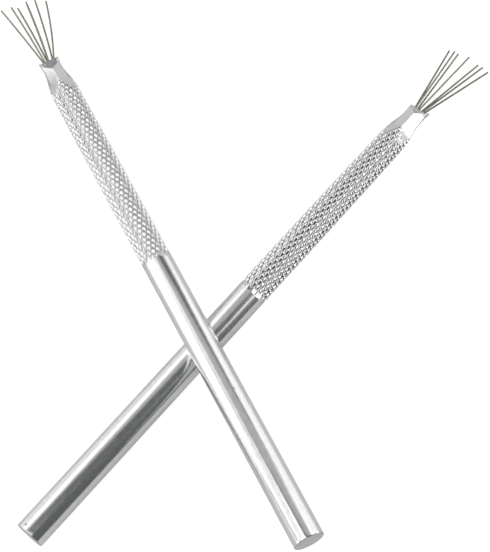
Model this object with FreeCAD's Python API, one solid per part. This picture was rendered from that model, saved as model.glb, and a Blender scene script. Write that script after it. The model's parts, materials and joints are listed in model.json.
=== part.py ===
import FreeCAD, Part
import math
import os

# Two feather-wire texturing tools, lying crossed in an X on a flat surface.
# Millimetres, +Z up, +Y toward the wire ends, origin under the middle of the pair.
#
# Each tool is first built upright in its own frame and then laid down:
#   z = 0 at the flat butt and rises toward the wires,
#   y points to the side that faces up once the tool is laid down,
#   x runs across the fan of wires.

Vector = FreeCAD.Vector

# ---------------------------------------------------------------- handle bar
BAR_RADIUS = 7.94 / 2            # 5/16 inch bar
HANDLE_LENGTH = 152.4            # 6 inches, butt to the flat far side of the mouth
BUTT_ROUNDING = 0.25
KNURL_START = 83.8               # the plain part ends here
KNURL_END = 144.0                # the smooth neck starts here
KNURL_RISE = 0.03                # crests of the knurl stand this far above the bar
BARREL_START = 95.0              # from here the knurled part thins slightly
KNURL_END_RADIUS = 3.75
NECK_BREAK = 146.0               # the neck narrows fast up to here, then slowly
NECK_BREAK_RADIUS = 3.30
MOUTH_RADIUS = 3.15

# ---------------------------------------------------------------- crimped neck
FACET_ANGLE = 45.0               # each of the four facets, measured from the y axis
FACET_CURVE = ((3.85, 139.0), (3.20, 141.4), (2.64, 143.8), (2.28, 146.4), (2.14, 149.2), (2.36, 153.4))
SIDE_CURVE = ((3.95, 142.0), (3.36, 144.6), (2.76, 147.4), (2.64, 149.2), (3.00, 153.4))
FAR_CURVE = ((3.28, 145.8), (2.90, 149.3), (2.42, 153.7))
CUTTER_REACH = 8.0               # how far a cutter extends past the bar

# ---------------------------------------------------------------- socket and plug
SOCKET_FACET = 1.75              # distance from the axis to the socket's four walls
SOCKET_CORNER = 0.45
SOCKET_HALF_HEIGHT = 1.95        # its two sharp corners are cut off at this y
SOCKET_BOTTOM = HANDLE_LENGTH - 10.0
LIP_START = (-0.10, HANDLE_LENGTH + 0.2)   # y and z where the near side's cut begins
PLUG_TOP = HANDLE_LENGTH - 0.5   # flat top of the plug, where the wires stand
PLUG_SHOULDER_Y = 0.62           # from here the plug slopes down toward the near lip
PLUG_NEAR_Y = 2.2

# ---------------------------------------------------------------- wires
WIRE_RADIUS = 0.25
ROOT_GAP = 0.03                  # between a wire's round root and the plug
ROOT_Z = PLUG_TOP + ROOT_GAP + WIRE_RADIUS
ROW_Y = {"front": 0.30, "back": -0.35, "rear": -0.95}

# ---------------------------------------------------------------- layout
CROSSING_ANGLE = 68.07           # between the two axes, seen from above
REST_GAP = 0.10                  # between the two bars where they cross
FLOOR_GAP = 0.02                 # under the knurl of the upper tool, which leans on the floor
TOUCH_Z = KNURL_END - 0.4        # where along its handle it does so

# One entry per tool; the two were finished by hand and differ a little at the mouth.
# facet_turn is how far the near pair of facets is turned from the y axis toward +x, lip
# gives two more points (y, z) of the near side's cut, lip_skew is its rise per mm of x,
# recess is how far the plug stays below the lip, and tip_y is where the wires of each
# row end.  Each wire gives its row, its root x, tip x, tip z and its bow toward -x.
TOOLS = {
    "upper_tool": {
        "turn": CROSSING_ANGLE / 2,
        "butt_to_crossing": 59.09,
        "roll": 0.0,
        "facet_turn": 4.0,
        "lip": ((0.65, 150.6), (3.5, 146.8)),
        "lip_skew": 0.0,
        "recess": 0.30,
        "tip_y": {"front": 0.75, "back": 0.00, "rear": -0.25},
        "wires": (
            ("back", 1.36, 4.84, 173.4, 0.10),
            ("front", 1.06, 2.05, 172.5, 0.15),
            ("back", 0.32, 0.48, 172.0, 0.15),
            ("front", -0.04, -2.27, 172.2, 0.20),
            ("rear", 0.06, -2.25, 172.0, 0.20),
            ("back", -1.20, -4.75, 172.0, 0.20),
            ("front", -1.65, -7.25, 169.8, 0.40),
        ),
    },
    "lower_tool": {
        "turn": -CROSSING_ANGLE / 2,
        "butt_to_crossing": 63.58,
        "roll": -6.0,
        "facet_turn": -8.0,
        "lip": ((0.65, 151.5), (3.5, 148.5)),
        "lip_skew": -0.12,
        "recess": 0.08,
        "tip_y": {"front": 0.30, "back": -0.80},
        "wires": (
            ("back", 1.56, 5.50, 171.7, 0.0),
            ("front", 1.18, 3.80, 171.9, 0.0),
            ("back", 0.72, 2.95, 172.4, 0.0),
            ("front", 0.02, -0.38, 172.9, 0.0),
            ("back", -0.59, -3.40, 172.9, 0.0),
            ("front", -1.16, -5.20, 172.6, 0.0),
            ("back", -1.43, -6.85, 172.8, 0.0),
        ),
    },
}


def barrel_radius(z):
    """Radius of the knurled part at height z: constant, then a shallow parabola."""
    if z <= BARREL_START:
        return BAR_RADIUS + KNURL_RISE
    share = (z - BARREL_START) / (KNURL_END - BARREL_START)
    drop = BAR_RADIUS + KNURL_RISE - KNURL_END_RADIUS
    return BAR_RADIUS + KNURL_RISE - drop * share ** 2


def turned_blank():
    """The round handle before its mouth is formed."""
    top_z = HANDLE_LENGTH + 1.0
    rounding = math.sqrt(0.5) * BUTT_ROUNDING
    corner = Vector(BAR_RADIUS - BUTT_ROUNDING + rounding, 0, BUTT_ROUNDING - rounding)
    barrel = Part.BSplineCurve()
    stations = 6
    step = (KNURL_END - BARREL_START) / stations
    barrel.interpolate([Vector(barrel_radius(BARREL_START + i * step), 0, BARREL_START + i * step)
                        for i in range(stations + 1)])
    outline = [
        Part.makeLine(Vector(0, 0, 0), Vector(BAR_RADIUS - BUTT_ROUNDING, 0, 0)),
        Part.Arc(Vector(BAR_RADIUS - BUTT_ROUNDING, 0, 0), corner,
                 Vector(BAR_RADIUS, 0, BUTT_ROUNDING)).toShape(),
    ]
    points = [Vector(BAR_RADIUS, 0, BUTT_ROUNDING), Vector(BAR_RADIUS, 0, KNURL_START),
              Vector(barrel_radius(KNURL_START), 0, KNURL_START),
              Vector(barrel_radius(BARREL_START), 0, BARREL_START)]
    outline += [Part.makeLine(a, b) for a, b in zip(points, points[1:])]
    outline.append(barrel.toShape())
    points = [Vector(KNURL_END_RADIUS, 0, KNURL_END), Vector(NECK_BREAK_RADIUS, 0, NECK_BREAK),
              Vector(MOUTH_RADIUS, 0, top_z), Vector(0, 0, top_z), Vector(0, 0, 0)]
    outline += [Part.makeLine(a, b) for a, b in zip(points, points[1:])]
    face = Part.Face(Part.Wire(outline))
    return face.revolve(Vector(0, 0, 0), Vector(0, 0, 1), 360)


def curved_cutter(curve, heading):
    """Block that removes what lies beyond the curve (distance from the axis, z).

    heading is the direction, in degrees from +y toward +x, in which the curve faces.
    """
    spline = Part.BSplineCurve()
    spline.interpolate([Vector(0, distance, z) for distance, z in curve])
    low = Vector(0, curve[0][0], curve[0][1])
    high = Vector(0, curve[-1][0], curve[-1][1])
    far = CUTTER_REACH
    edges = [spline.toShape(),
             Part.makeLine(high, Vector(0, far, high.z)),
             Part.makeLine(Vector(0, far, high.z), Vector(0, far, low.z)),
             Part.makeLine(Vector(0, far, low.z), low)]
    block = Part.Face(Part.Wire(edges)).extrude(Vector(2 * CUTTER_REACH, 0, 0))
    block.translate(Vector(-CUTTER_REACH, 0, 0))
    block.rotate(Vector(0, 0, 0), Vector(0, 0, 1), -heading)
    return block


def neck_cutters(facet_turn):
    """Four crimp facets, the two flat sides and the flat under the neck."""
    headings = (facet_turn + FACET_ANGLE, facet_turn - FACET_ANGLE,
                180 - FACET_ANGLE, 180 + FACET_ANGLE)
    cutters = [curved_cutter(FACET_CURVE, heading) for heading in headings]
    cutters += [curved_cutter(SIDE_CURVE, heading) for heading in (90, -90)]
    cutters.append(curved_cutter(FAR_CURVE, 180))
    return cutters


def below(profile, skew):
    """Everything below a line of (y, z) points, which rises by skew per mm of x."""
    far = CUTTER_REACH
    points = [Vector(-far, y, z - far * skew) for y, z in profile]
    points += [Vector(-far, far, 0), Vector(-far, -far, 0)]
    face = Part.Face(Part.makePolygon(points + points[:1]))
    return face.extrude(Vector(2 * far, 0, 2 * far * skew))


def height_at(y, start, end):
    """Height at y on the straight line through two (y, z) points."""
    return start[1] + (end[1] - start[1]) * (y - start[0]) / (end[0] - start[0])


def lip_profile(tool):
    """The mouth's cut: flat on the far side, sloped on the near side."""
    far = CUTTER_REACH
    knee, end = tool["lip"]
    run = (knee[0] - LIP_START[0]) / (LIP_START[1] - knee[1])
    edge_y = LIP_START[0] + (LIP_START[1] - HANDLE_LENGTH) * run
    return [(-far, HANDLE_LENGTH), (edge_y, HANDLE_LENGTH), knee,
            (far, height_at(far, knee, end))]


def plug_profile(tool):
    """The plug's top: flat under the wires, then down to just below the near lip."""
    far = CUTTER_REACH
    shoulder = (PLUG_SHOULDER_Y, PLUG_TOP)
    near = (PLUG_NEAR_Y, height_at(PLUG_NEAR_Y, *tool["lip"]) - tool["recess"])
    return [(-far, PLUG_TOP), shoulder, (far, height_at(far, shoulder, near))]


def socket_prism():
    """The four-walled hole in the mouth, with rounded side corners."""
    half = (SOCKET_FACET - SOCKET_CORNER) / math.cos(math.radians(FACET_ANGLE))
    points = [Vector(half, 0, 0), Vector(0, half, 0), Vector(-half, 0, 0), Vector(0, -half, 0)]
    diamond = Part.makePolygon(points + points[:1]).makeOffset2D(SOCKET_CORNER)
    prism = Part.Face(diamond).extrude(Vector(0, 0, HANDLE_LENGTH - SOCKET_BOTTOM + 2))
    prism.translate(Vector(0, 0, SOCKET_BOTTOM))
    reach = CUTTER_REACH
    slab = Part.makeBox(2 * reach, 2 * SOCKET_HALF_HEIGHT, HANDLE_LENGTH,
                        Vector(-reach, -SOCKET_HALF_HEIGHT, SOCKET_BOTTOM - 1))
    return prism.common(slab)


def make_handle(tool):
    handle = turned_blank().cut(neck_cutters(tool["facet_turn"]))
    handle = handle.common(below(lip_profile(tool), tool["lip_skew"]))
    return handle.cut(socket_prism()).removeSplitter()


def make_plug(tool):
    return socket_prism().common(below(plug_profile(tool), 0.0)).removeSplitter()


def wire_ends(tool, wire):
    """Centre of the wire's round root and centre of its tip."""
    row, root_x, tip_x, tip_z, _ = wire
    return Vector(root_x, ROW_Y[row], ROOT_Z), Vector(tip_x, tool["tip_y"][row], tip_z)


def make_wire(tool, wire):
    """Round wire, straight or bowed, with a ball at its root to turn on."""
    root, tip = wire_ends(tool, wire)
    bow = wire[-1]
    if bow:
        curve = Part.Arc(root, (root + tip) * 0.5 - Vector(bow, 0, 0), tip)
        path = curve.toShape()
        heading = curve.tangent(curve.FirstParameter)[0]
    else:
        path = Part.makeLine(root, tip)
        heading = tip - root
    profile = Part.Wire(Part.makeCircle(WIRE_RADIUS, root, heading))
    rod = Part.Wire(path).makePipeShell([profile], True, True)
    ball = Part.makeSphere(WIRE_RADIUS, root)
    return rod.fuse(ball).removeSplitter()


def lean_angle(butt_to_crossing):
    """Tilt that brings the upper tool's knurl down to the floor, found by halving."""
    height = 3 * BAR_RADIUS + REST_GAP
    arm = TOUCH_Z - butt_to_crossing
    low, high = 0.0, math.radians(15)
    for _ in range(40):
        tilt = (low + high) / 2
        clearance = height - arm * math.sin(tilt) - barrel_radius(TOUCH_Z) * math.cos(tilt)
        if clearance > FLOOR_GAP:
            low = tilt
        else:
            high = tilt
    return low


def tool_placement(name):
    """Lays a tool down: the lower one on the floor, the upper one across it."""
    tool = TOOLS[name]
    turn = math.radians(tool["turn"])
    leaning = name == "upper_tool"
    tilt = lean_angle(tool["butt_to_crossing"]) if leaning else 0.0
    height = 3 * BAR_RADIUS + REST_GAP if leaning else BAR_RADIUS
    along = Vector(-math.sin(turn) * math.cos(tilt), math.cos(turn) * math.cos(tilt), -math.sin(tilt))
    near = Vector(-math.sin(turn) * math.sin(tilt), math.cos(turn) * math.sin(tilt), math.cos(tilt))
    across = near.cross(along)
    laid = FreeCAD.Rotation(across, near, along, "ZYX")
    rolled = laid.multiply(FreeCAD.Rotation(Vector(0, 0, 1), tool["roll"]))
    butt = Vector(0, 0, height) - along * tool["butt_to_crossing"]
    return FreeCAD.Placement(butt, rolled)


def make_tool(name):
    """All solids of one tool, laid down, by node name."""
    tool = TOOLS[name]
    shapes = {name + "_handle": make_handle(tool), name + "_socket_plug": make_plug(tool)}
    for number, wire in enumerate(tool["wires"], start=1):
        shapes["%s_wire_%d" % (name, number)] = make_wire(tool, wire)
    for shape in shapes.values():
        shape.Placement = tool_placement(name).multiply(shape.Placement)
    return shapes


def centring_shift(shapes):
    """Moves the middle of the pair's underside to the origin."""
    box = Part.makeCompound(list(shapes)).optimalBoundingBox(False, False)
    return Vector(-box.Center.x, -box.Center.y, -box.ZMin)


def build():
    shapes = {}
    for name in TOOLS:
        shapes.update(make_tool(name))
    shift = centring_shift(shapes.values())
    for shape in shapes.values():
        shape.translate(shift)
    return shapes, shift


def export(shapes):
    os.makedirs("parts", exist_ok=True)
    for node, shape in shapes.items():
        shape.exportStep("parts/%s.step" % node)


nodes, _ = build()
export(nodes)
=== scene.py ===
import json
import math

import bpy
import numpy as np
from mathutils import Matrix, Vector


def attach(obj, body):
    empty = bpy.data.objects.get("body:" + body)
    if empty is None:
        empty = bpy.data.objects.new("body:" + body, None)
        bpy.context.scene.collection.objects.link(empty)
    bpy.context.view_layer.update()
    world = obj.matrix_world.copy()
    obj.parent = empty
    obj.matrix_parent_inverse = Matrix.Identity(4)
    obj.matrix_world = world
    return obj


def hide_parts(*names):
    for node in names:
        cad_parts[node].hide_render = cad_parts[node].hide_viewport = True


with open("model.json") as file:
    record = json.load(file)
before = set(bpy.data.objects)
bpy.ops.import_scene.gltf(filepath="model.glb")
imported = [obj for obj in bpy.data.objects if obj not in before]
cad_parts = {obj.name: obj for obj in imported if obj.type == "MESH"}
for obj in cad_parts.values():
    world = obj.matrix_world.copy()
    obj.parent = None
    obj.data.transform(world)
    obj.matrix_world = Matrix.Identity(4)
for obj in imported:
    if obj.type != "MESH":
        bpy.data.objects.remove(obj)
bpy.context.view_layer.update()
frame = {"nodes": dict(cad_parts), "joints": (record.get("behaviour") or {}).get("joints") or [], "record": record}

# Everything inside a tool is worked out in millimetres in the tool's own frame:
# z runs from the butt to the wires, y points to the side that faces up, x runs
# across the fan of wires.  MM turns a size into metres.
MM = 0.001
TOOLS = ("upper_tool", "lower_tool")
mounts = {m["name"]: m for m in frame["record"]["mounts"]}
joints = {j["name"]: j for j in frame["joints"]}

# ------------------------------------------------------------------ the handle's sizes
BAR_RADIUS = mounts["upper_tool_grip"]["dims"]["r_mm"]
HANDLE_LENGTH = 152.4
BUTT_ROUNDING = 0.25
KNURL_START = 83.8
KNURL_END = 144.0
KNURL_RISE = 0.03
CREST_RISE = 0.08                # the real crests stand this much prouder still
BARREL_START = 95.0
KNURL_END_RADIUS = 3.75
NECK_BREAK = 146.0
NECK_BREAK_RADIUS = 3.30
MOUTH_RADIUS = 3.15
MOUTH_TOP = HANDLE_LENGTH + 1.0
FACET_HEADINGS = (45.0, 135.0, 225.0, 315.0)
FACET_TURN = {"upper_tool": 4.0, "lower_tool": -8.0}
SIDE_HEADINGS = (90.0, 270.0)
FACET_CURVE = ((3.85, 139.0), (3.20, 141.4), (2.64, 143.8), (2.28, 146.4), (2.14, 149.2), (2.36, 153.4))
SIDE_CURVE = ((3.95, 142.0), (3.36, 144.6), (2.76, 147.4), (2.64, 149.2), (3.00, 153.4))
FAR_CURVE = ((3.28, 145.8), (2.90, 149.3), (2.42, 153.7))
SOCKET_FACET = 1.75
SOCKET_HALF_HEIGHT = 1.95
LIP_START = (-0.10, HANDLE_LENGTH + 0.2)
LIP = {"upper_tool": ((0.65, 150.6), (3.5, 146.8)), "lower_tool": ((0.65, 151.5), (3.5, 148.5))}
LIP_SKEW = {"upper_tool": 0.0, "lower_tool": -0.12}
PLUG_RECESS = {"upper_tool": 0.30, "lower_tool": 0.08}
PLUG_TOP = HANDLE_LENGTH - 0.5
PLUG_SHOULDER_Y = 0.62
PLUG_NEAR_Y = 2.2
HOLE_DEPTH = 6.0                 # how far down the skins of the hole and plug go
NECK_SHARPNESS = 11.0            # higher means a tighter rounding between facets
SOCKET_SHARPNESS = 9.0
MOUTH_ROUNDING = 0.10            # at the outer edge of the mouth
HOLE_ROUNDING = 0.08             # at the edge of its hole
PLUG_GAP = 0.01                  # between the skins of the hole and plug

# ------------------------------------------------------------------ painted shade and finish of the metal
GROOVE_PAINTED_SHADE = 0.72              # painted shade: how much darker the knurl's grooves are
KNURL_POLISH = 0.09              # how much less rough the knurl is
SIDE_INNER = 2.25                # from this far off the axis the neck darkens,
SIDE_OUTER = 2.8                 # and from this far it is darkest
SIDE_PAINTED_SHADE = 0.36              # painted shade: how much darker the outer edges of the neck are
BUTT_EDGE_PAINTED_SHADE = 0.5               # painted shade on the rounded edge of the butt
END_FACE_PAINTED_SHADE = 0.22               # painted shade on the sawn end face
PIT_CORE = 0.15
PIT_RIM = 0.40
# x, y, z and darkness of one small pit per tool
PIT = {"upper_tool": (-1.4, 3.71, 41.9, 0.3), "lower_tool": (1.25, 3.77, 1.3, 0.8)}

# ------------------------------------------------------------------ the knurl
TEETH_AROUND = 17
KNURL_PERIODS = 22.5
KNURL_DEPTH = 0.52
CREST_CUT = 0.86                 # share of the full tooth height that is left
KNURL_SHOULDER = 0.2             # length over which the teeth rise at the start
KNURL_RUNOUT = 0.3               # length over which they fade at the end
SAMPLES_PER_TOOTH = 16
COLUMNS = TEETH_AROUND * SAMPLES_PER_TOOTH

# ------------------------------------------------------------------ fineness of the skins
AXIS_HOLE = 0.02                 # radius of the smallest ring, which a cap closes
BUTT_RINGS = 8
PLAIN_RINGS = 60
NECK_RINGS = 90
KNURL_TABLE_STEPS = 200
KNURL_FINE_STEPS = 2000
LIP_PASSES = 60                  # rounds of settling the mouth's edge onto its cut
LIP_EASE = 0.4                   # share of each round's correction that is taken
LEAST_FACING = 0.15              # a flat turned further away than this isn't met
OUT_OF_REACH = 9.0               # a radius outside every piece


def tool_matrix(tool):
    """Where a tool lies: its own frame (in metres) to the row frame."""
    butt = mounts[tool + "_butt"]
    along = -Vector(butt["axis"]).normalized()
    across = Vector(joints[tool + "_wire_1_flex"]["axis"]).normalized()
    near = along.cross(across)
    matrix = Matrix((across, near, along)).transposed().to_4x4()
    matrix.translation = Vector(butt["pos_m"])
    return matrix


def smooth_curve(curve, z):
    """Distance from the axis at z, on a smooth curve through (distance, z) points."""
    heights = np.array([p[1] for p in curve])
    distances = np.array([p[0] for p in curve])
    slopes = np.gradient(distances, heights)
    cell = np.clip(np.searchsorted(heights, z) - 1, 0, len(heights) - 2)
    width = heights[cell + 1] - heights[cell]
    t = np.clip((z - heights[cell]) / width, 0.0, 1.0)
    return ((2 * t**3 - 3 * t**2 + 1) * distances[cell]
            + (t**3 - 2 * t**2 + t) * width * slopes[cell]
            + (3 * t**2 - 2 * t**3) * distances[cell + 1]
            + (t**3 - t**2) * width * slopes[cell + 1])


def barrel_radius(z):
    """Radius of the knurled part: constant, then a shallow parabola."""
    share = np.clip((z - BARREL_START) / (KNURL_END - BARREL_START), 0.0, 1.0)
    full = BAR_RADIUS + KNURL_RISE
    return full - (full - KNURL_END_RADIUS) * share**2


def soft_min(values, sharpness):
    """Smallest of several fields, with the edges between them rounded off."""
    total = sum(np.exp(-sharpness * (v - values[0])) for v in values)
    return values[0] - np.log(total) / sharpness


def flat_side(distance, heading, theta):
    """Radius at which a flat at that distance from the axis is met."""
    facing = np.cos(theta - math.radians(heading))
    return np.where(facing > LEAST_FACING, distance / np.maximum(facing, LEAST_FACING), OUT_OF_REACH)


def neck_cut(tool, theta, z):
    """Radius left by the crimp facets, the flat sides and the flat underside."""
    facet = smooth_curve(FACET_CURVE, z)
    side = smooth_curve(SIDE_CURVE, z)
    far = smooth_curve(FAR_CURVE, z)
    cuts = []
    for heading in FACET_HEADINGS:
        near_side = math.cos(math.radians(heading)) > 0
        turn = FACET_TURN[tool] if near_side else 0.0
        cuts.append(flat_side(facet, heading + turn, theta))
    cuts += [flat_side(side, heading, theta) for heading in SIDE_HEADINGS]
    cuts.append(flat_side(far, 180.0, theta))
    return cuts


def knurl_phase(z):
    """Number of tooth rows up to z.  The rows get closer as the barrel thins."""
    steps = np.linspace(KNURL_START, KNURL_END, KNURL_TABLE_STEPS)
    density = 1.0 / barrel_radius(steps)
    total = np.concatenate(([0.0], np.cumsum((density[1:] + density[:-1]) / 2)))
    return np.interp(z, steps, total / total[-1] * KNURL_PERIODS)


def tooth_height(theta, phase):
    """Height of the diamond pyramids, 0 in the grooves and up to 1 on the crests."""
    around = theta / (2 * math.pi) * TEETH_AROUND
    left = np.abs((around + phase) % 1.0 - 0.5)
    right = np.abs((around - phase) % 1.0 - 0.5)
    height = 1.0 - 2.0 * np.maximum(left, right)
    return np.minimum(height / CREST_CUT, 1.0)


def handle_radius(tool, theta, z):
    """Radius of the knurled part and neck."""
    barrel = barrel_radius(z)
    shoulder = np.clip((z - KNURL_START) / KNURL_SHOULDER, 0.0, 1.0)
    runout = np.clip((KNURL_END - z) / KNURL_RUNOUT, 0.0, 1.0)
    depth = KNURL_DEPTH * barrel / BAR_RADIUS * shoulder * runout
    crest = barrel + CREST_RISE * shoulder * runout
    knurled = crest - depth * (1.0 - tooth_height(theta, knurl_phase(z)))
    taper = np.interp(z, [KNURL_END, NECK_BREAK, MOUTH_TOP],
                      [KNURL_END_RADIUS, NECK_BREAK_RADIUS, MOUTH_RADIUS])
    body = np.where(z <= KNURL_END, knurled, taper)
    return soft_min([body] + neck_cut(tool, theta, z), NECK_SHARPNESS)


def ring(theta, radius, z):
    """Points at these angles, measured from +y toward +x."""
    return np.stack([radius * np.sin(theta), radius * np.cos(theta), z + 0 * theta], axis=-1)


def lip_z(tool, x, y):
    """Height of the mouth's cut: flat on the far side, sloped on the near side."""
    knee, end = LIP[tool]
    steep = LIP_START[1] + (knee[1] - LIP_START[1]) * (y - LIP_START[0]) / (knee[0] - LIP_START[0])
    shallow = knee[1] + (end[1] - knee[1]) * (y - knee[0]) / (end[0] - knee[0])
    return np.minimum(HANDLE_LENGTH, np.where(y < knee[0], steep, shallow)) + LIP_SKEW[tool] * x


def plug_z(tool, y):
    """Height of the plug: flat under the wires, then down to just below the near lip."""
    near_z = float(lip_z(tool, 0.0, PLUG_NEAR_Y)) - PLUG_RECESS[tool]
    slope = (near_z - PLUG_TOP) / (PLUG_NEAR_Y - PLUG_SHOULDER_Y)
    return PLUG_TOP + slope * np.maximum(y - PLUG_SHOULDER_Y, 0.0)


def round_corner(before, corner, after, steps=4):
    """Rows that lead round a corner, from the point before it to the point after it."""
    rows = []
    for t in np.linspace(0.0, 1.0, steps + 1):
        rows.append(before * (1 - t) ** 2 + corner * 2 * t * (1 - t) + after * t**2)
    return rows


def toward(start, end, distance):
    """Points that far from start toward end, or a little under half way if that is less."""
    step = end - start
    length = np.linalg.norm(step, axis=-1, keepdims=True)
    return start + step * np.minimum(distance / np.maximum(length, 1e-6), 0.45)


def socket_radius(theta):
    """Radius of the hole in the mouth, with four walls and two cut corners."""
    walls = [flat_side(SOCKET_FACET, heading, theta) for heading in FACET_HEADINGS]
    walls += [flat_side(SOCKET_HALF_HEIGHT, heading, theta) for heading in (0.0, 180.0)]
    return soft_min(walls, SOCKET_SHARPNESS)


def handle_rows(tool):
    """Rings of points from the centre of the butt to the bottom of the mouth's hole."""
    theta = np.linspace(0.0, 2 * math.pi, COLUMNS, endpoint=False)
    flat = BAR_RADIUS - BUTT_ROUNDING
    rows = [ring(theta, r, 0.0) for r in np.linspace(AXIS_HOLE, flat, BUTT_RINGS)]
    for angle in np.linspace(0.0, math.pi / 2, BUTT_RINGS)[1:]:
        rows.append(ring(theta, flat + BUTT_ROUNDING * math.sin(angle),
                         BUTT_ROUNDING * (1 - math.cos(angle))))
    rows += [ring(theta, BAR_RADIUS, z) for z in np.linspace(1.0, KNURL_START, PLAIN_RINGS)]
    steps = int(KNURL_PERIODS * SAMPLES_PER_TOOTH)
    fine = np.linspace(KNURL_START, KNURL_END, KNURL_FINE_STEPS)
    rows_z = np.interp(np.arange(1, steps + 1) / SAMPLES_PER_TOOTH, knurl_phase(fine), fine)
    rows += [ring(theta, handle_radius(tool, theta, z), z) for z in rows_z]

    top = np.full(COLUMNS, HANDLE_LENGTH)
    for _ in range(LIP_PASSES):
        lip = ring(theta, handle_radius(tool, theta, top), top)
        top = (1 - LIP_EASE) * top + LIP_EASE * lip_z(tool, lip[:, 0], lip[:, 1])
    for share in np.linspace(0.0, 1.0, NECK_RINGS)[1:-1]:
        z = KNURL_END + (top - KNURL_END) * share
        rows.append(ring(theta, handle_radius(tool, theta, z), z))
    hole = ring(theta, socket_radius(theta), HANDLE_LENGTH)
    hole[:, 2] = lip_z(tool, hole[:, 0], hole[:, 1])
    floor = ring(theta, socket_radius(theta), HANDLE_LENGTH - HOLE_DEPTH)
    rows += round_corner(toward(lip, rows[-1], MOUTH_ROUNDING), lip, toward(lip, hole, MOUTH_ROUNDING))
    rows += [lip + (hole - lip) * share for share in (0.35, 0.5, 0.65)]
    rows += round_corner(toward(hole, lip, HOLE_ROUNDING), hole, toward(hole, floor, HOLE_ROUNDING))
    rows += [hole + (floor - hole) * share for share in (0.3, 0.6, 1.0)]
    return rows


def plug_rows(tool):
    """Rings from the bottom of the plug up its side and in across its top."""
    theta = np.linspace(0.0, 2 * math.pi, COLUMNS // 2, endpoint=False)
    radius = socket_radius(theta) - PLUG_GAP
    base = HANDLE_LENGTH - HOLE_DEPTH
    rows = [ring(theta, radius * share, base) for share in (0.02, 0.5, 1.0)]
    for share in (1.0, 0.93, 0.86, 0.78, 0.7, 0.62, 0.54, 0.46, 0.38, 0.3, 0.22, 0.14, 0.08, 0.02):
        x = radius * share * np.sin(theta)
        y = radius * share * np.cos(theta)
        z = plug_z(tool, y)
        lumps = 0.03 * np.sin(7.1 * x + 1.3) * np.cos(6.3 * y) + 0.02 * np.sin(13.0 * x - 9.0 * y)
        rows.append(np.stack([x, y, z + lumps], axis=-1))
    return rows


def mesh_object(name, rows, matrix):
    """One closed skin through the rings, with its two ends capped."""
    points = np.concatenate(rows) * MM
    columns = len(rows[0])
    first = np.arange(columns)
    faces = []
    for r in range(len(rows) - 1):
        a = r * columns + first
        b = r * columns + np.roll(first, -1)
        faces.append(np.stack([a, a + columns, b + columns, b], axis=-1))
    faces = np.concatenate(faces).tolist()
    faces.append(first.tolist())
    faces.append((first[::-1] + (len(rows) - 1) * columns).tolist())
    mesh = bpy.data.meshes.new(name)
    mesh.from_pydata(points.tolist(), [], faces)
    mesh.polygons.foreach_set("use_smooth", [True] * len(mesh.polygons))
    mesh.update()
    obj = bpy.data.objects.new(name, mesh)
    bpy.context.scene.collection.objects.link(obj)
    obj.matrix_world = matrix
    return obj


# ------------------------------------------------------------------ materials
def new_material(name):
    material = bpy.data.materials.new(name)
    material.use_nodes = True
    tree = material.node_tree
    return material, tree, tree.nodes["Principled BSDF"]


def noise_node(tree, vector, scale, detail=3.0):
    node = tree.nodes.new("ShaderNodeTexNoise")
    node.inputs["Scale"].default_value = scale
    node.inputs["Detail"].default_value = detail
    tree.links.new(vector, node.inputs["Vector"])
    return node.outputs["Fac"]


def ramp_node(tree, value, stops):
    """Colour ramp through (place, colour) stops."""
    node = tree.nodes.new("ShaderNodeValToRGB")
    ramp = node.color_ramp
    while len(ramp.elements) < len(stops):
        ramp.elements.new(0.5)
    for element, (place, colour) in zip(ramp.elements, stops):
        element.position = place
        element.color = (*colour, 1.0)
    tree.links.new(value, node.inputs["Fac"])
    return node.outputs["Color"]


def stretched(tree, scale):
    """The piece's own coordinates, in metres, stretched by a scale per axis."""
    coordinates = tree.nodes.new("ShaderNodeTexCoord")
    mapping = tree.nodes.new("ShaderNodeMapping")
    mapping.inputs["Scale"].default_value = scale
    tree.links.new(coordinates.outputs["Object"], mapping.inputs["Vector"])
    return mapping.outputs["Vector"]


def range_node(tree, value, low, high):
    """Takes a value from 0 to 1 to a range from low to high."""
    node = tree.nodes.new("ShaderNodeMapRange")
    node.inputs["To Min"].default_value = low
    node.inputs["To Max"].default_value = high
    tree.links.new(value, node.inputs["Value"])
    return node.outputs["Result"]


def bump_node(tree, height, distance, strength, before=None):
    node = tree.nodes.new("ShaderNodeBump")
    node.inputs["Distance"].default_value = distance
    node.inputs["Strength"].default_value = strength
    tree.links.new(height, node.inputs["Height"])
    if before:
        tree.links.new(before, node.inputs["Normal"])
    return node.outputs["Normal"]


def math_node(tree, operation, *values):
    """A math node fed by sockets or plain numbers."""
    node = tree.nodes.new("ShaderNodeMath")
    node.operation = operation
    for socket, value in zip(node.inputs, values):
        if isinstance(value, (int, float)):
            socket.default_value = value
        else:
            tree.links.new(value, socket)
    return node.outputs["Value"]


def soft_step(tree, value, start, end, before, after):
    """Goes smoothly from before to after as the value goes from start to end."""
    node = tree.nodes.new("ShaderNodeMapRange")
    node.interpolation_type = "SMOOTHSTEP"
    node.inputs["From Min"].default_value = start
    node.inputs["From Max"].default_value = end
    node.inputs["To Min"].default_value = before
    node.inputs["To Max"].default_value = after
    tree.links.new(value, node.inputs["Value"])
    return node.outputs["Result"]


def axis_value(tree, vector, axis):
    """One of a vector's three parts."""
    node = tree.nodes.new("ShaderNodeSeparateXYZ")
    tree.links.new(vector, node.inputs["Vector"])
    return node.outputs[axis]


def pit_shade(tree, position, tool):
    """Dark spot about half a millimetre across."""
    pit_x, pit_y, pit_z, pit_darkness = PIT[tool]
    distance = tree.nodes.new("ShaderNodeVectorMath")
    distance.operation = "DISTANCE"
    distance.inputs[1].default_value = (pit_x * MM, pit_y * MM, pit_z * MM)
    tree.links.new(position, distance.inputs[0])
    return soft_step(tree, distance.outputs["Value"], PIT_CORE * MM, PIT_RIM * MM, pit_darkness, 0.0)


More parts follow.
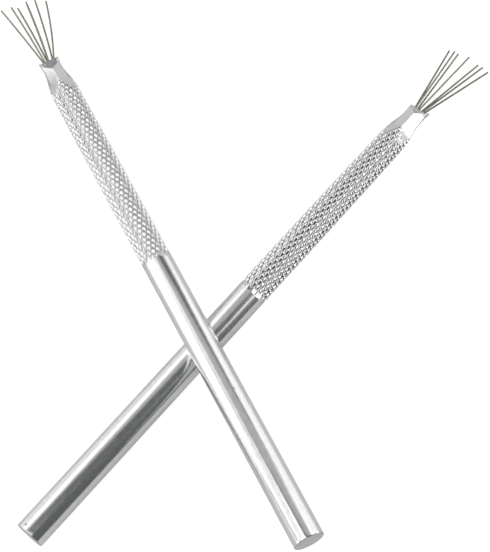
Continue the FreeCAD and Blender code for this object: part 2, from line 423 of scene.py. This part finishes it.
def metal_shade(tree, coordinates, in_knurl, in_neck, tool):
    """How much painted shade is taken off the metal's colour, 0 to 1, with the small pit's dark spot added in."""
    position = coordinates.outputs["Object"]
    height = axis_value(tree, position, "Z")
    geometry = tree.nodes.new("ShaderNodeNewGeometry")
    # painted shade in the knurl's grooves, found from the pointiness of the surface
    hollow = soft_step(tree, geometry.outputs["Pointiness"], 0.42, 0.52, GROOVE_PAINTED_SHADE, 0.0)
    groove_shade = math_node(tree, "MULTIPLY", hollow, in_knurl)
    # painted shade along the outer edges of the neck
    off_centre = math_node(tree, "ABSOLUTE", axis_value(tree, position, "X"))
    side = soft_step(tree, off_centre, SIDE_INNER * MM, SIDE_OUTER * MM, 0.0, SIDE_PAINTED_SHADE)
    side = math_node(tree, "MULTIPLY", side, in_neck)
    # painted shade on the butt's rounded edge, and less of it on the end face
    edge = soft_step(tree, height, 0.02 * MM, BUTT_ROUNDING * MM, BUTT_EDGE_PAINTED_SHADE, 0.0)
    facing_end = axis_value(tree, coordinates.outputs["Normal"], "Z")
    end = soft_step(tree, facing_end, -0.99, -0.9, BUTT_EDGE_PAINTED_SHADE - END_FACE_PAINTED_SHADE, 0.0)
    shade = math_node(tree, "ADD", math_node(tree, "ADD", groove_shade, side),
                      math_node(tree, "SUBTRACT", edge, end))
    return math_node(tree, "MAXIMUM", shade, pit_shade(tree, position, tool))


def aluminium_material(tool):
    """Bright drawn bar: satin on the plain part, sharper in the knurl, with painted shade darkening its grooves.
    """
    material, tree, shader = new_material("satin_aluminium_" + tool)
    shader.inputs["Metallic"].default_value = 1.0
    coordinates = tree.nodes.new("ShaderNodeTexCoord")
    height = axis_value(tree, coordinates.outputs["Object"], "Z")
    in_neck = soft_step(tree, height, (KNURL_END - 1.0) * MM, (KNURL_END + 1.0) * MM, 0.0, 1.0)
    past_start = soft_step(tree, height, (KNURL_START - 0.1) * MM, (KNURL_START + 0.1) * MM, 0.0, 1.0)
    in_knurl = math_node(tree, "SUBTRACT", past_start, in_neck)

    cloud = noise_node(tree, stretched(tree, (1, 1, 1)), 900.0)
    grain = noise_node(tree, stretched(tree, (1, 1, 0.6)), 3800.0, 2.0)
    drawn = noise_node(tree, stretched(tree, (1, 1, 0.03)), 6000.0)
    mixed = math_node(tree, "ADD", math_node(tree, "MULTIPLY", cloud, 0.5),
                      math_node(tree, "MULTIPLY", grain, 0.5))
    metal = ramp_node(tree, mixed, [(0.3, (0.78, 0.79, 0.79)), (0.7, (0.90, 0.90, 0.89))])
    shaded = tree.nodes.new("ShaderNodeVectorMath")
    shaded.operation = "SCALE"
    shade = metal_shade(tree, coordinates, in_knurl, in_neck, tool)
    tree.links.new(metal, shaded.inputs["Vector"])
    tree.links.new(math_node(tree, "SUBTRACT", 1.0, shade), shaded.inputs["Scale"])
    tree.links.new(shaded.outputs["Vector"], shader.inputs["Base Color"])

    satin = range_node(tree, cloud, 0.15, 0.23)
    polish = math_node(tree, "MULTIPLY", in_knurl, KNURL_POLISH)
    tree.links.new(math_node(tree, "SUBTRACT", satin, polish), shader.inputs["Roughness"])
    brushed = bump_node(tree, drawn, 0.00001, 0.25)
    tree.links.new(bump_node(tree, grain, 0.000005, 0.3, brushed), shader.inputs["Normal"])
    return material


def filler_material(name, dark, light):
    """Rough mottled grey, between a dark and a light tone."""
    material, tree, shader = new_material(name)
    mottle = noise_node(tree, stretched(tree, (1, 1, 1)), 1500.0, 4.0)
    colour = ramp_node(tree, mottle, [(0.35, dark), (0.65, light)])
    tree.links.new(colour, shader.inputs["Base Color"])
    shader.inputs["Metallic"].default_value = 0.3
    shader.inputs["Roughness"].default_value = 0.5
    tree.links.new(bump_node(tree, mottle, 0.00008, 0.6), shader.inputs["Normal"])
    return material


def wire_material():
    """Olive-grey spring steel, a little mottled."""
    material, tree, shader = new_material("spring_wire")
    shader.inputs["Metallic"].default_value = 1.0
    cloud = noise_node(tree, stretched(tree, (1, 1, 1)), 1200.0)
    colour = ramp_node(tree, cloud, [(0.3, (0.24, 0.24, 0.19)), (0.7, (0.36, 0.36, 0.29))])
    tree.links.new(colour, shader.inputs["Base Color"])
    tree.links.new(range_node(tree, cloud, 0.18, 0.28), shader.inputs["Roughness"])
    tree.links.new(bump_node(tree, cloud, 0.00001, 0.2), shader.inputs["Normal"])
    return material


ALUMINIUM = {tool: aluminium_material(tool) for tool in TOOLS}
# the upper tool's filler is a darker copy of the same filler: painted shade for the inside of its deeper-set mouth
FILLER = {"upper_tool": filler_material("painted_shade_filler", (0.20, 0.22, 0.25), (0.42, 0.44, 0.46)),
          "lower_tool": filler_material("pale_filler", (0.46, 0.48, 0.48), (0.60, 0.62, 0.61))}
WIRE = wire_material()

for tool in TOOLS:
    place = tool_matrix(tool)
    handle = mesh_object(tool + "_knurled_handle", handle_rows(tool), place)
    handle.data.materials.append(ALUMINIUM[tool])
    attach(handle, tool)
    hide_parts(tool + "_handle")
    plug = mesh_object(tool + "_filler", plug_rows(tool), place)
    plug.data.materials.append(FILLER[tool])
    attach(plug, tool)
    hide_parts(tool + "_socket_plug")
    for number in range(1, 8):
        wire = frame["nodes"]["%s_wire_%d" % (tool, number)]
        wire.data.materials.clear()
        wire.data.materials.append(WIRE)

# ------------------------------------------------------------------ stage
CARD_DISTANCE = 0.6


def soft_box(azimuth, elevation, width, height, radiance):
    """A glowing panel that faces the middle of the object; all angles in degrees."""
    light = bpy.data.lights.new("soft_box", "AREA")
    light.shape = "RECTANGLE"
    light.size = 2 * CARD_DISTANCE * math.tan(math.radians(width / 2))
    light.size_y = 2 * CARD_DISTANCE * math.tan(math.radians(height / 2))
    light.energy = radiance * math.pi * light.size * light.size_y
    obj = bpy.data.objects.new("soft_box", light)
    bpy.context.scene.collection.objects.link(obj)
    turn, lift = math.radians(azimuth), math.radians(elevation)
    direction = Vector((math.cos(turn) * math.cos(lift), math.sin(turn) * math.cos(lift), math.sin(lift)))
    obj.location = direction * CARD_DISTANCE
    obj.rotation_mode = "QUATERNION"
    obj.rotation_quaternion = (-direction).to_track_quat("-Z", "Y")


# azimuth from +X toward +Y, elevation, width, height, radiance
SOFT_BOXES = (
    (0, 8, 18, 16, 4.2),         # small bright lamp at the right
    (0, 36, 22, 36, 1.2),        # panel above it
    (36, 8, 54, 16, 0.95),       # low strip, right and behind
    (44, 32, 36, 32, 1.0),
    (32, 56, 33, 16, 1.0),
    (90, 16, 56, 32, 0.55),      # weak fill from behind
    (140, 16, 44, 32, 0.75),
    (156, 40, 46, 16, 1.45),     # left side, from low to high
    (182, 16, 38, 32, 1.2),
    (216, 8, 18, 16, 2.1),
    (210, 24, 40, 16, 0.65),
    (204, 40, 44, 16, 0.75),
    (170, 56, 80, 16, 0.6),
    (240, 40, 22, 16, 1.4),      # strip over the near left
    (240, 68, 50, 24, 1.3),
    (90, 68, 90, 26, 0.35),
)


def flat_sheet(name, corner, far_corner, height, seen_by_camera):
    """A flat sheet, seen either by the camera only or by everything but the camera."""
    mesh = bpy.data.meshes.new(name)
    mesh.from_pydata([(corner[0], corner[1], height), (far_corner[0], corner[1], height),
                      (far_corner[0], far_corner[1], height), (corner[0], far_corner[1], height)],
                     [], [(0, 1, 2, 3)])
    sheet = bpy.data.objects.new(name, mesh)
    bpy.context.scene.collection.objects.link(sheet)
    sheet.visible_camera = seen_by_camera
    sheet.visible_glossy = not seen_by_camera
    sheet.visible_diffuse = not seen_by_camera
    sheet.visible_shadow = not seen_by_camera
    material, tree, shader = new_material(name)
    shader.inputs["Roughness"].default_value = 0.9
    mesh.materials.append(material)
    return shader


pale_floor = flat_sheet("pale_floor", (-3, -3), (3, 3), -0.0006, False)
pale_floor.inputs["Base Color"].default_value = (0.8, 0.8, 0.8, 1)
bounce_card = flat_sheet("bounce_card", (-0.45, -0.15), (-0.095, 0.12), -0.0004, False)
bounce_card.inputs["Base Color"].default_value = (0.8, 0.8, 0.8, 1)
bounce_card.inputs["Emission Color"].default_value = (1, 1, 1, 1)
bounce_card.inputs["Emission Strength"].default_value = 0.55
white_ground = flat_sheet("white_ground", (-3, -3), (3, 3), -0.0002, True)
white_ground.inputs["Base Color"].default_value = (0.35, 0.35, 0.35, 1)
white_ground.inputs["Specular IOR Level"].default_value = 0.0
white_ground.inputs["Emission Color"].default_value = (1, 1, 1, 1)
white_ground.inputs["Emission Strength"].default_value = 0.88

world = bpy.data.worlds.new("studio")
world.use_nodes = True
world.node_tree.nodes["Background"].inputs["Color"].default_value = (0.95, 1.0, 0.97, 1)
world.node_tree.nodes["Background"].inputs["Strength"].default_value = 0.12
bpy.context.scene.world = world
for box in SOFT_BOXES:
    soft_box(*box)

# ------------------------------------------------------------------ camera
CAMERA_TARGET = Vector((9.27, 0.40, 4.0))
CAMERA_DISTANCE = 450.0
CAMERA_AZIMUTH = 8.76
CAMERA_TILT = 20.0
CAMERA_ROLL = -1.91
CAMERA_LENS = 113.45
turn = (Matrix.Rotation(math.radians(CAMERA_AZIMUTH), 4, "Z")
        @ Matrix.Rotation(math.radians(CAMERA_TILT), 4, "X")
        @ Matrix.Rotation(math.radians(CAMERA_ROLL), 4, "Z"))
camera_data = bpy.data.cameras.new("camera")
camera_data.lens = CAMERA_LENS
camera = bpy.data.objects.new("camera", camera_data)
bpy.context.scene.collection.objects.link(camera)
back = turn.to_3x3() @ Vector((0, 0, 1))
camera.matrix_world = Matrix.Translation((CAMERA_TARGET + back * CAMERA_DISTANCE) * MM) @ turn
camera_data.clip_start = 0.01
camera_data.clip_end = 10.0
bpy.context.scene.camera = camera
bpy.context.scene.view_settings.view_transform = "Standard"
